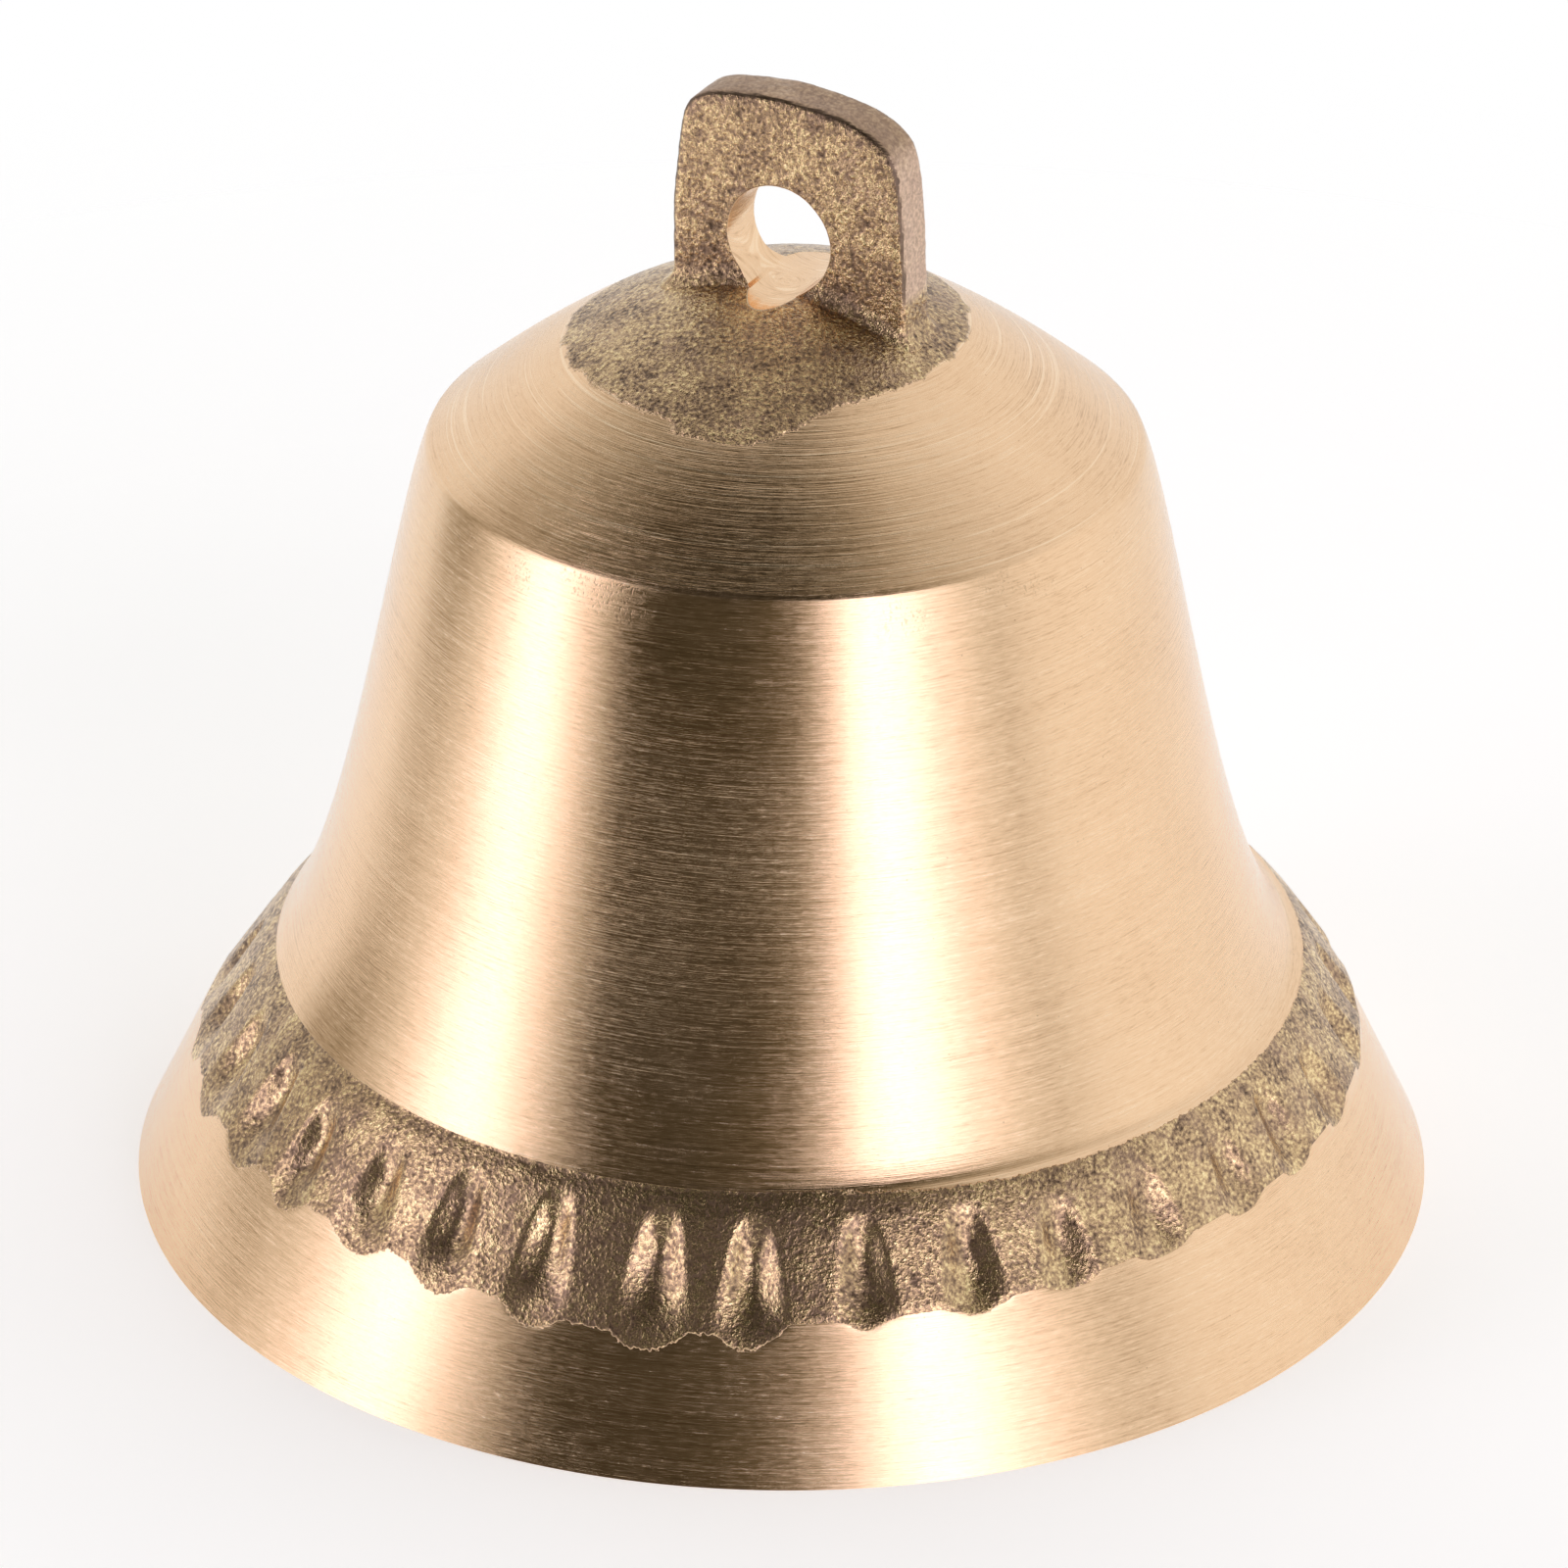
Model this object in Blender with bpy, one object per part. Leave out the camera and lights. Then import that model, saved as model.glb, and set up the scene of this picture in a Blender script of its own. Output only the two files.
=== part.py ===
"""Small cast temple bell: a bell casting with its hanging lug, and a clapper hung inside it.

Metres, +Z up.  The origin is the centre of the mouth plane.  The lug's plate lies along X and
its hanging hole runs along Y.
"""
import math

import bmesh
import bpy
from mathutils import Matrix, Vector

MM = 0.001

# Bell casting, outside
MOUTH_RADIUS = 35.0 * MM
LIP_TAPER = 0.475                   # radius lost for each unit of height on the turned lip
LIP_TOP_AT_FLUTE = 6.5 * MM         # the turned lip reaches lower where a flute runs out
LIP_TOP_AT_LAND = 7.6 * MM
BAND_TOP = 13.2 * MM
BAND_TOP_RADIUS = 27.8 * MM
BAND_TAPER = 0.675                  # the same as LIP_TAPER, along the lands of the cast band
FLUTES = 34                         # petal-shaped hollows round the cast band
FLUTE_DEPTH = 0.75 * MM
FLUTE_TOP = 12.1 * MM
FLUTE_FADE = 0.6                    # share of the depth left just under the flutes' tops
FLUTE_FADE_START = 0.7 * MM         # how far under their tops that is
FLUTE_FLANK = 0.45                  # share of the depth half way out to the land
BAND_FOOT_STEP = 0.3 * MM           # from the lip's edge up to the band's first full ring
FIRST_FLUTE_ANGLE = math.radians(-64.8)
BAND_SIDES = 4 * FLUTES
BODY_SIDES = 2 * FLUTES
WAIST_FOOT = (27.1 * MM, 13.5 * MM)
WAIST_FOOT_HANDLE = (23.1 * MM, 19.3 * MM)
WAIST_HEAD_HANDLE = (20.8 * MM, 38.5 * MM)
WAIST_HEAD = (18.85 * MM, 43.0 * MM)
DISC_EDGE = (10.5 * MM, 49.25 * MM)  # edge of the as-cast disc left on the crown
CROWN_BULGE = 0.25 * MM
DOME_TOP = 52.5 * MM
WAIST_STEPS = 5

# Bell casting, inside
MOUTH_BORE_RADIUS = 32.2 * MM
HOLLOW_FOOT = (24.8 * MM, 13.0 * MM)
HOLLOW_FOOT_HANDLE = (20.7 * MM, 19.5 * MM)
HOLLOW_HEAD_HANDLE = (18.4 * MM, 37.0 * MM)
HOLLOW_HEAD = (16.5 * MM, 41.0 * MM)
HOLLOW_CORNER_HANDLE = (14.0 * MM, 45.4 * MM)
HOLLOW_TOP = 45.8 * MM
HOLLOW_TOP_HANDLE = (8.0 * MM, HOLLOW_TOP)
HOLLOW_STEPS = 4                    # for the wall, and again for the roof

# Hanging lug
LUG_THICKNESS = 3.0 * MM
LUG_ROOT = 49.0 * MM                # inside the dome
LUG_TOP = 63.0 * MM
LUG_SHOULDER = 62.1 * MM            # height of the top corners before rounding
LUG_LEFT = (-6.1 * MM, -5.5 * MM)   # x at the root and at the shoulder
LUG_RIGHT = (7.6 * MM, 7.1 * MM)
LUG_LEFT_RADIUS = 1.6 * MM
LUG_RIGHT_RADIUS = 2.6 * MM
LUG_EDGE_BEVEL = 0.4 * MM
HOLE_RADIUS = 3.0 * MM
HOLE_CENTRE = (0.25 * MM, 55.0 * MM)  # x and z
DRILL_REACH = 10.0 * MM
DRILL_SIDES = 32
ARCH_STEPS = 6                      # straight runs along the lug's arched top

# Clapper and its suspension
GAP = 0.3 * MM                      # kept between pieces that touch
STAPLE_WIRE = 1.1 * MM              # wire radius
STAPLE_SPREAD = 4.0 * MM            # half the distance between the legs
STAPLE_BEND_HEIGHT = 40.0 * MM      # where the straight legs end
STAPLE_LEG_TOP = 49.0 * MM
STAPLE_SOCKET_FOOT = 44.0 * MM      # inside the hollow, so the sockets open into it
STAPLE_SOCKET_SIDES = 16
LINK_WIRE = 0.9 * MM
LINK_RADIUS = 4.0 * MM
LINK_STEPS = 28
SHANK_WIRE = 1.0 * MM
EYE_RADIUS = 2.9 * MM
NECK_RADIUS = 2.0 * MM
EYE_TAIL_GAP = math.radians(40)
BALL_RADIUS = 6.0 * MM
BALL_HEIGHT = 9.0 * MM
BALL_SIDES = 28
BALL_STEPS = 14
PEENED_RADIUS = 1.8 * MM
PEENED_LENGTH = 0.8 * MM
PEENED_STEP = 0.01 * MM             # height over which the hammered end narrows to the wire

BRASS_TURNED = ((0.80, 0.58, 0.34), 0.28, 1.0)
BRASS_BALL = ((0.62, 0.43, 0.20), 0.40, 1.0)
IRON_WIRE = ((0.16, 0.14, 0.12), 0.60, 0.9)
STEEL_WIRE = ((0.42, 0.40, 0.37), 0.42, 1.0)


def clear_scene():
    for item in list(bpy.data.objects):
        bpy.data.objects.remove(item, do_unlink=True)


def metal(name, finish):
    colour, roughness, metallic = finish
    material = bpy.data.materials.new(name)
    material.use_nodes = True
    shader = material.node_tree.nodes["Principled BSDF"]
    shader.inputs["Base Color"].default_value = (*colour, 1.0)
    shader.inputs["Roughness"].default_value = roughness
    shader.inputs["Metallic"].default_value = metallic
    return material


def add_object(name, bm, finish=None, origin=(0.0, 0.0, 0.0), sharp_angle=35.0):
    """Close the bmesh into an object whose own origin is at the given world point."""
    bmesh.ops.recalc_face_normals(bm, faces=bm.faces)
    bmesh.ops.translate(bm, verts=bm.verts, vec=-Vector(origin))
    mesh = bpy.data.meshes.new(name)
    bm.to_mesh(mesh)
    bm.free()
    mesh.shade_smooth()
    mesh.set_sharp_from_angle(angle=math.radians(sharp_angle))
    item = bpy.data.objects.new(name, mesh)
    item.location = origin
    bpy.context.collection.objects.link(item)
    if finish:
        mesh.materials.append(metal(name, finish))
    return item


def add_cutter(name, bm):
    item = add_object(name, bm)
    item.hide_render = True
    item.display_type = "WIRE"
    return item


def combine(item, other, operation):
    modifier = item.modifiers.new(f"{operation.lower()}_{other.name}", "BOOLEAN")
    modifier.object = other
    modifier.operation = operation
    modifier.solver = "EXACT"


def bezier(start, start_handle, end_handle, end, steps):
    """Points of a cubic curve in the (radius, height) plane, both ends included."""
    points = []
    for step in range(steps + 1):
        t = step / steps
        weights = ((1 - t) ** 3, 3 * t * (1 - t) ** 2, 3 * t * t * (1 - t), t ** 3)
        corners = (start, start_handle, end_handle, end)
        points.append(tuple(sum(w * c[axis] for w, c in zip(weights, corners)) for axis in (0, 1)))
    return points


def rounded_corner(before, corner, after, radius, steps=5):
    """Points of the arc that rounds a corner of an outline, in the outline's plane."""
    corner = Vector(corner)
    back = (Vector(before) - corner).normalized()
    ahead = (Vector(after) - corner).normalized()
    half_angle = back.angle(ahead) / 2
    centre = corner + (back + ahead).normalized() * (radius / math.sin(half_angle))
    first = corner + back * (radius / math.tan(half_angle)) - centre
    last = corner + ahead * (radius / math.tan(half_angle)) - centre
    sweep = first.angle_signed(last)
    return [centre + Matrix.Rotation(-sweep * step / steps, 2) @ first for step in range(steps + 1)]


def lip_radius(height):
    return MOUTH_RADIUS - LIP_TAPER * height


def land_radius(height):
    return BAND_TOP_RADIUS + BAND_TAPER * (BAND_TOP - height)


def add_ring(bm, count, radius, height):
    """One ring of vertices at a radius and a height."""
    return add_wavy_ring(bm, count, lambda index: (radius, height))


def add_wavy_ring(bm, count, place):
    """One ring of vertices, whose radius and height place gives for each vertex's index."""
    ring = []
    for index in range(count):
        angle = FIRST_FLUTE_ANGLE + math.tau * index / count
        radius, height = place(index)
        ring.append(bm.verts.new((radius * math.cos(angle), radius * math.sin(angle), height)))
    return ring


def hollowness(index):
    """How far into a flute the vertex lies: 1 on its centre line, 0 on the land between two."""
    return (1.0, FLUTE_FLANK, 0.0, FLUTE_FLANK)[index % 4]


def lip_top(index):
    return LIP_TOP_AT_LAND + (LIP_TOP_AT_FLUTE - LIP_TOP_AT_LAND) * hollowness(index)


def fluted(height, depth):
    return lambda index: (land_radius(height) - depth * hollowness(index), height)


def bridge(bm, one, other):
    """Faces between two rings of equal counts, or with one ring of twice the other's count."""
    if len(one) < len(other):
        one, other = other, one
    count = len(other)
    for index in range(count):
        near, far = other[index], other[(index + 1) % count]
        if len(one) == count:
            bm.faces.new((one[index], one[(index + 1) % count], far, near))
            continue
        start, middle, end = (one[(2 * index + step) % len(one)] for step in range(3))
        bm.faces.new((near, start, middle))
        bm.faces.new((near, middle, far))
        bm.faces.new((far, middle, end))


def close_with_point(bm, ring, height):
    tip = bm.verts.new((0.0, 0.0, height))
    for index, vertex in enumerate(ring):
        bm.faces.new((vertex, ring[(index + 1) % len(ring)], tip))


def band_rings(bm):
    """The lip and the cast band, from the mouth up, on four vertices for each flute."""
    foot = LIP_TOP_AT_LAND + BAND_FOOT_STEP
    middle = (foot + FLUTE_TOP) / 2
    under_top = FLUTE_TOP - FLUTE_FADE_START
    return [
        add_ring(bm, BAND_SIDES, MOUTH_RADIUS, 0.0),
        add_wavy_ring(bm, BAND_SIDES, lambda index: (lip_radius(lip_top(index)), lip_top(index))),
        add_wavy_ring(bm, BAND_SIDES, fluted(foot, FLUTE_DEPTH)),
        add_wavy_ring(bm, BAND_SIDES, fluted(middle, FLUTE_DEPTH)),
        add_wavy_ring(bm, BAND_SIDES, fluted(under_top, FLUTE_DEPTH * FLUTE_FADE)),
        add_ring(bm, BAND_SIDES, land_radius(FLUTE_TOP), FLUTE_TOP),
        add_ring(bm, BAND_SIDES, BAND_TOP_RADIUS, BAND_TOP),
    ]


def crown_points():
    """The turned crown, from the shoulder to the as-cast disc, with its slight outward bulge."""
    points = []
    for share in (0.5, 1.0):
        radius = WAIST_HEAD[0] + (DISC_EDGE[0] - WAIST_HEAD[0]) * share
        height = WAIST_HEAD[1] + (DISC_EDGE[1] - WAIST_HEAD[1]) * share
        points.append((radius, height + CROWN_BULGE * math.sin(math.pi * share)))
    return points


def dome_height(radius):
    """Height of the as-cast dome: an arc through the disc's edge with its top on the axis."""
    rise = DOME_TOP - DISC_EDGE[1]
    arc = (DISC_EDGE[0] ** 2 + rise ** 2) / (2 * rise)
    return DOME_TOP - arc + math.sqrt(arc ** 2 - radius ** 2)


def bell_shell():
    """The turned casting without its lug: one closed skin, outside, mouth rim and hollow."""
    bm = bmesh.new()
    rings = band_rings(bm)
    waist = bezier(WAIST_FOOT, WAIST_FOOT_HANDLE, WAIST_HEAD_HANDLE, WAIST_HEAD, WAIST_STEPS)
    dome = [(DISC_EDGE[0] * share, dome_height(DISC_EDGE[0] * share)) for share in (2 / 3, 1 / 3)]
    for radius, height in waist + crown_points() + dome:
        rings.append(add_ring(bm, BODY_SIDES, radius, height))
    close_with_point(bm, rings[-1], DOME_TOP)

    wall = bezier(HOLLOW_FOOT, HOLLOW_FOOT_HANDLE, HOLLOW_HEAD_HANDLE, HOLLOW_HEAD, HOLLOW_STEPS)
    tip = (0.0, HOLLOW_TOP)
    roof = bezier(HOLLOW_HEAD, HOLLOW_CORNER_HANDLE, HOLLOW_TOP_HANDLE, tip, HOLLOW_STEPS)
    hollow = [add_ring(bm, BODY_SIDES, MOUTH_BORE_RADIUS, 0.0)]
    for radius, height in wall + roof[1:-1]:
        hollow.append(add_ring(bm, BODY_SIDES, radius, height))
    close_with_point(bm, hollow[-1], HOLLOW_TOP)

    for chain in (rings, hollow, (rings[0], hollow[0])):
        for one, other in zip(chain, chain[1:]):
            bridge(bm, one, other)
    return bm


def lug_outline():
    """The lug's face in the XZ plane: leaning sides, two unlike corners and an arched top."""
    left_root = (LUG_LEFT[0], LUG_ROOT)
    right_root = (LUG_RIGHT[0], LUG_ROOT)
    left_corner = (LUG_LEFT[1], LUG_SHOULDER)
    right_corner = (LUG_RIGHT[1], LUG_SHOULDER)
    crown = ((LUG_LEFT[1] + LUG_RIGHT[1]) / 2, LUG_TOP)
    left = rounded_corner(left_root, left_corner, crown, LUG_LEFT_RADIUS)
    right = rounded_corner(crown, right_corner, right_root, LUG_RIGHT_RADIUS)
    span = right[0].x - left[-1].x
    arch = []
    for step in range(1, ARCH_STEPS):
        share = step / ARCH_STEPS
        chord = left[-1].lerp(right[0], share)
        rise = (LUG_TOP - (left[-1].y + right[0].y) / 2) * math.sin(math.pi * share)
        arch.append(Vector((left[-1].x + span * share, chord.y + rise)))
    return [Vector(left_root), *left, *arch, *right, Vector(right_root)]


def lug_blank():
    """The lug as a plate with bevelled rims, before it is joined to the dome and drilled."""
    bm = bmesh.new()
    front = [bm.verts.new((point.x, -LUG_THICKNESS / 2, point.y)) for point in lug_outline()]
    face = bm.faces.new(front)
    back = bmesh.ops.extrude_face_region(bm, geom=[face])["geom"]
    moved = [piece for piece in back if isinstance(piece, bmesh.types.BMVert)]
    bmesh.ops.translate(bm, verts=moved, vec=(0.0, LUG_THICKNESS, 0.0))
    rims = [edge for edge in bm.edges if abs(edge.verts[0].co.y - edge.verts[1].co.y) < LUG_THICKNESS / 2]
    bmesh.ops.bevel(bm, geom=rims, offset=LUG_EDGE_BEVEL, segments=2, profile=0.5, affect="EDGES")
    return bm


def cylinder(radius, sides, start, end):
    """A closed cylinder between two points."""
    bm = bmesh.new()
    start, end = Vector(start), Vector(end)
    axis = end - start
    turn = axis.to_track_quat("Z", "Y").to_matrix().to_4x4()
    place = Matrix.Translation((start + end) / 2) @ turn
    bmesh.ops.create_cone(bm, cap_ends=True, segments=sides, radius1=radius, radius2=radius,
                          depth=axis.length, matrix=place)
    return bm


def make_bell_body():
    bell = add_object("bell_body", bell_shell(), BRASS_TURNED)
    combine(bell, add_cutter("lug_blank", lug_blank()), "UNION")
    x, z = HOLE_CENTRE
    drill = cylinder(HOLE_RADIUS, DRILL_SIDES, (x, -DRILL_REACH, z), (x, DRILL_REACH, z))
    combine(bell, add_cutter("hole_drill", drill), "DIFFERENCE")
    for side, label in ((-1, "front"), (1, "back")):
        foot = (0.0, side * STAPLE_SPREAD, STAPLE_SOCKET_FOOT)
        end = (0.0, side * STAPLE_SPREAD, STAPLE_LEG_TOP + GAP)
        socket = cylinder(STAPLE_WIRE + GAP, STAPLE_SOCKET_SIDES, foot, end)
        combine(bell, add_cutter(f"staple_socket_{label}", socket), "DIFFERENCE")


def arc(centre, radius, first, last, steps):
    """Points of an arc in a plane, both ends included; angles in radians."""
    points = []
    for step in range(steps + 1):
        angle = first + (last - first) * step / steps
        points.append((centre[0] + radius * math.cos(angle), centre[1] + radius * math.sin(angle)))
    return points


def wire(points, radii, plane, sides=10, closed=False):
    """A round wire along points of an upright plane: plane gives the world axis of their first
    coordinate, and their second is the height."""
    bm = bmesh.new()
    across = Vector((1.0, 0.0, 0.0)) if plane == "X" else Vector((0.0, 1.0, 0.0))
    path = [across * first + Vector((0.0, 0.0, height)) for first, height in points]
    normal = across.cross(Vector((0.0, 0.0, 1.0)))
    count = len(path)
    rings = []
    for index, point in enumerate(path):
        ahead = path[(index + 1) % count] if closed else path[min(index + 1, count - 1)]
        behind = path[index - 1] if closed else path[max(index - 1, 0)]
        outward = (ahead - behind).normalized().cross(normal)
        ring = []
        for side in range(sides):
            angle = math.tau * side / sides
            offset = outward * math.cos(angle) + normal * math.sin(angle)
            ring.append(bm.verts.new(point + offset * radii[index]))
        rings.append(ring)
    pairs = list(zip(rings, rings[1:] + rings[:1]))
    for one, other in pairs if closed else pairs[:-1]:
        bridge(bm, one, other)
    if not closed:
        bm.faces.new(rings[0])
        bm.faces.new(rings[-1])
    return bm


def staple_bar_height():
    return STAPLE_BEND_HEIGHT - STAPLE_SPREAD


def link_centre_height():
    inner_radius = LINK_RADIUS - LINK_WIRE
    return staple_bar_height() + STAPLE_WIRE + GAP - inner_radius


def link_bottom_height():
    return link_centre_height() - LINK_RADIUS


def make_clapper_staple():
    """A wire loop whose two legs are cast into the crown; its bend carries the link."""
    bend = arc((0.0, STAPLE_BEND_HEIGHT), STAPLE_SPREAD, -math.pi, 0.0, 12)
    points = [(-STAPLE_SPREAD, STAPLE_LEG_TOP), *bend, (STAPLE_SPREAD, STAPLE_LEG_TOP)]
    bm = wire(points, [STAPLE_WIRE] * len(points), "Y")
    add_object("clapper_staple", bm, IRON_WIRE, (0.0, 0.0, staple_bar_height()))


def make_clapper_link():
    """A closed wire ring round the staple's bend, turning about the bend's wire."""
    points = arc((0.0, link_centre_height()), LINK_RADIUS, 0.0, math.tau, LINK_STEPS)[:-1]
    bm = wire(points, [LINK_WIRE] * LINK_STEPS, "X", closed=True)
    add_object("clapper_link", bm, STEEL_WIRE, (0.0, 0.0, staple_bar_height()))


def shank_path():
    """The shank from its peened end up to the eye: heights along Z, the eye turned towards +Y."""
    eye_top = link_bottom_height() + LINK_WIRE + GAP + SHANK_WIRE
    eye_centre = eye_top - EYE_RADIUS
    neck = eye_centre - math.sqrt((EYE_RADIUS + NECK_RADIUS) ** 2 - NECK_RADIUS ** 2)
    meeting = math.asin(NECK_RADIUS / (EYE_RADIUS + NECK_RADIUS))
    turn = arc((NECK_RADIUS, neck), NECK_RADIUS, math.pi, math.pi / 2 + meeting, 4)
    loop = arc((0.0, eye_centre), EYE_RADIUS, meeting - math.pi / 2, 1.5 * math.pi - EYE_TAIL_GAP, 18)
    return turn + loop[1:]


def make_clapper_shank():
    """One wire: an eye round the link, a straight rod, and an end hammered over below the ball."""
    eye = shank_path()
    ball_flat = BALL_HEIGHT - math.sqrt(BALL_RADIUS ** 2 - (SHANK_WIRE + GAP) ** 2)
    head_top = ball_flat - GAP
    head_bottom = head_top - PEENED_LENGTH
    points = [(0.0, head_bottom), (0.0, head_top), (0.0, head_top + PEENED_STEP), *eye]
    radii = [PEENED_RADIUS, PEENED_RADIUS, SHANK_WIRE] + [SHANK_WIRE] * len(eye)
    bm = wire(points, radii, "Y")
    add_object("clapper_shank", bm, STEEL_WIRE, (0.0, 0.0, link_bottom_height()))


def make_clapper_ball():
    """A brass ball bored through for the shank."""
    bm = bmesh.new()
    bore = SHANK_WIRE + GAP
    start = math.acos(bore / BALL_RADIUS)
    rings = []
    for step in range(BALL_STEPS + 1):
        angle = -start + 2 * start * step / BALL_STEPS
        rings.append(add_ring(bm, BALL_SIDES, BALL_RADIUS * math.cos(angle),
                              BALL_HEIGHT + BALL_RADIUS * math.sin(angle)))
    for one, other in zip(rings, rings[1:] + rings[:1]):
        bridge(bm, one, other)
    add_object("clapper_ball", bm, BRASS_BALL, (0.0, 0.0, link_bottom_height()))


def main():
    clear_scene()
    make_bell_body()
    make_clapper_staple()
    make_clapper_link()
    make_clapper_shank()
    make_clapper_ball()


main()
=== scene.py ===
import math
import bmesh
import bpy
import numpy as np
from mathutils import Matrix, Vector, noise


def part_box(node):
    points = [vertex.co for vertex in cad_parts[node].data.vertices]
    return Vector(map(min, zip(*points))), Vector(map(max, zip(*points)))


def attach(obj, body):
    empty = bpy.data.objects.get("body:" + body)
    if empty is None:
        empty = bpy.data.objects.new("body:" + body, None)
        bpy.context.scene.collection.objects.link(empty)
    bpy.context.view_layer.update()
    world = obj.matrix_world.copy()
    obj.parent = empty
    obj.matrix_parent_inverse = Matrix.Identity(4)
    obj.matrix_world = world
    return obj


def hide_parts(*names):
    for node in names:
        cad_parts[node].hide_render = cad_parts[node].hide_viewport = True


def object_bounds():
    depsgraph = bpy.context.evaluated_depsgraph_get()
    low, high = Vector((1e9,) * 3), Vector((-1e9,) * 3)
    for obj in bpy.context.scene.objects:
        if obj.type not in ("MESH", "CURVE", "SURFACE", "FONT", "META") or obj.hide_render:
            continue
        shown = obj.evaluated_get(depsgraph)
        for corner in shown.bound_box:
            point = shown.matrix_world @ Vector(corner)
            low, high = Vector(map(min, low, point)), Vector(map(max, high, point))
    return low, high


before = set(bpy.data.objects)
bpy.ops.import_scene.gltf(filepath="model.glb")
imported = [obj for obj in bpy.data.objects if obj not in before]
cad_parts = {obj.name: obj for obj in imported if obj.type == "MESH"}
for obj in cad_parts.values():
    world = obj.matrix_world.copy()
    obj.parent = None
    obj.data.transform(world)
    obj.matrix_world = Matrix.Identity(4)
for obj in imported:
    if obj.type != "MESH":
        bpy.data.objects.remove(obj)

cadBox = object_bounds()
mm = 0.001
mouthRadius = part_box("bell_body")[1].x / mm
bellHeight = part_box("bell_body")[1].z / mm


class Wire:
    # a socket that can be used in sums like a number
    def __init__(self, graph, socket):
        self.graph = graph
        self.socket = socket

    def maths(self, operation, *values, clamp=False):
        inputs = dict(enumerate((self, *values)))
        return self.graph.node("ShaderNodeMath", {"operation": operation, "use_clamp": clamp}, inputs)

    def __add__(self, other):
        return self.maths("ADD", other)

    def __sub__(self, other):
        return self.maths("SUBTRACT", other)

    def __mul__(self, other):
        return self.maths("MULTIPLY", other)

    def __truediv__(self, other):
        return self.maths("DIVIDE", other)

    def __radd__(self, other):
        return self + other

    def __rmul__(self, other):
        return self * other

    def __rsub__(self, other):
        return self.graph.node("ShaderNodeMath", {"operation": "SUBTRACT"}, {0: other, 1: self})

    def clamp(self):
        return self.maths("ADD", 0.0, clamp=True)

    def above(self, edge, width):
        # rises from 0 to 1 as the value passes from edge to edge + width
        return ((self - edge) / width).clamp()

    def power(self, exponent):
        return self.maths("POWER", exponent)


class Graph:
    # a material's or the world's nodes, each made by one call
    def __init__(self, tree):
        self.tree = tree
        self.tree.nodes.clear()

    def node(self, kind, settings=None, inputs=None, output=0):
        # settings come first, because they decide which inputs there are
        made = self.tree.nodes.new(kind)
        for name, value in (settings or {}).items():
            if name == "stops":
                self.setStops(made.color_ramp, value)
            else:
                setattr(made, name, value)
        for name, value in (inputs or {}).items():
            self.feed(made.inputs[name], value)
        return Wire(self, made.outputs[output]) if len(made.outputs) else made

    def setStops(self, ramp, stops):
        while len(ramp.elements) < len(stops):
            ramp.elements.new(0.5)
        for element, (position, colour) in zip(ramp.elements, stops):
            element.position = position
            element.color = (*colour, 1.0) if len(colour) == 3 else colour

    def feed(self, socket, value):
        if isinstance(value, Wire):
            self.tree.links.new(value.socket, socket)
        elif socket.type == "RGBA" and len(value) == 3:
            socket.default_value = (*value, 1.0)
        else:
            socket.default_value = value

    def objectPlace(self):
        # position on the piece, in millimetres
        place = self.node("ShaderNodeTexCoord", output=3)
        return self.node("ShaderNodeVectorMath", {"operation": "SCALE"}, {0: place, "Scale": 1 / mm})

    def split(self, vector):
        parts = self.node("ShaderNodeSeparateXYZ", inputs={0: vector})
        outputs = parts.socket.node.outputs
        return [Wire(self, outputs[axis]) for axis in range(3)]

    def join(self, x, y, z):
        return self.node("ShaderNodeCombineXYZ", inputs={0: x, 1: y, 2: z})

    def noise(self, place, scale, detail=2.0, roughness=0.5):
        inputs = {"Vector": place, "Scale": scale, "Detail": detail, "Roughness": roughness}
        return self.node("ShaderNodeTexNoise", inputs=inputs)

    def cells(self, place, scale, feature="F1"):
        return self.node("ShaderNodeTexVoronoi", {"feature": feature}, {"Vector": place, "Scale": scale})

    def ramp(self, stops, amount):
        return self.node("ShaderNodeValToRGB", {"stops": stops}, {0: amount})

    def mix(self, amount, one, other, blendType="MIX"):
        settings = {"data_type": "RGBA", "blend_type": blendType}
        return self.node("ShaderNodeMix", settings, {0: amount, 6: one, 7: other}, 2)

    def bump(self, height, distance):
        inputs = {"Strength": 1.0, "Distance": distance, "Height": height}
        return self.node("ShaderNodeBump", inputs=inputs)

    def attribute(self, name):
        return self.node("ShaderNodeAttribute", {"attribute_name": name}, output=2)


def newGraph(name):
    material = bpy.data.materials.new(name)
    material.use_nodes = True
    return material, Graph(material.node_tree)


def finishMetal(graph, fixed, inputs):
    # the shader and its output: fixed holds the values that are the same all over
    shader = graph.node("ShaderNodeBsdfPrincipled", inputs={**fixed, **inputs})
    graph.node("ShaderNodeOutputMaterial", inputs={"Surface": shader})


def addPiece(name, points, faces, material, smoothAngle=50.0):
    mesh = bpy.data.meshes.new(name)
    mesh.from_pydata([tuple(point) for point in points], [], faces)
    mesh.update()
    mesh.shade_smooth()
    mesh.set_sharp_from_angle(angle=math.radians(smoothAngle))
    piece = bpy.data.objects.new(name, mesh)
    bpy.context.scene.collection.objects.link(piece)
    if material:
        mesh.materials.append(material)
    return piece


def addBmesh(name, work):
    mesh = bpy.data.meshes.new(name)
    work.to_mesh(mesh)
    work.free()
    piece = bpy.data.objects.new(name, mesh)
    bpy.context.scene.collection.objects.link(piece)
    return piece


def faceOutwards(piece):
    # turns the faces outwards and returns how many edges are open
    work = bmesh.new()
    work.from_mesh(piece.data)
    bmesh.ops.recalc_face_normals(work, faces=work.faces)
    openEdges = sum(not edge.is_manifold for edge in work.edges)
    work.to_mesh(piece.data)
    work.free()
    return openEdges


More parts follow.
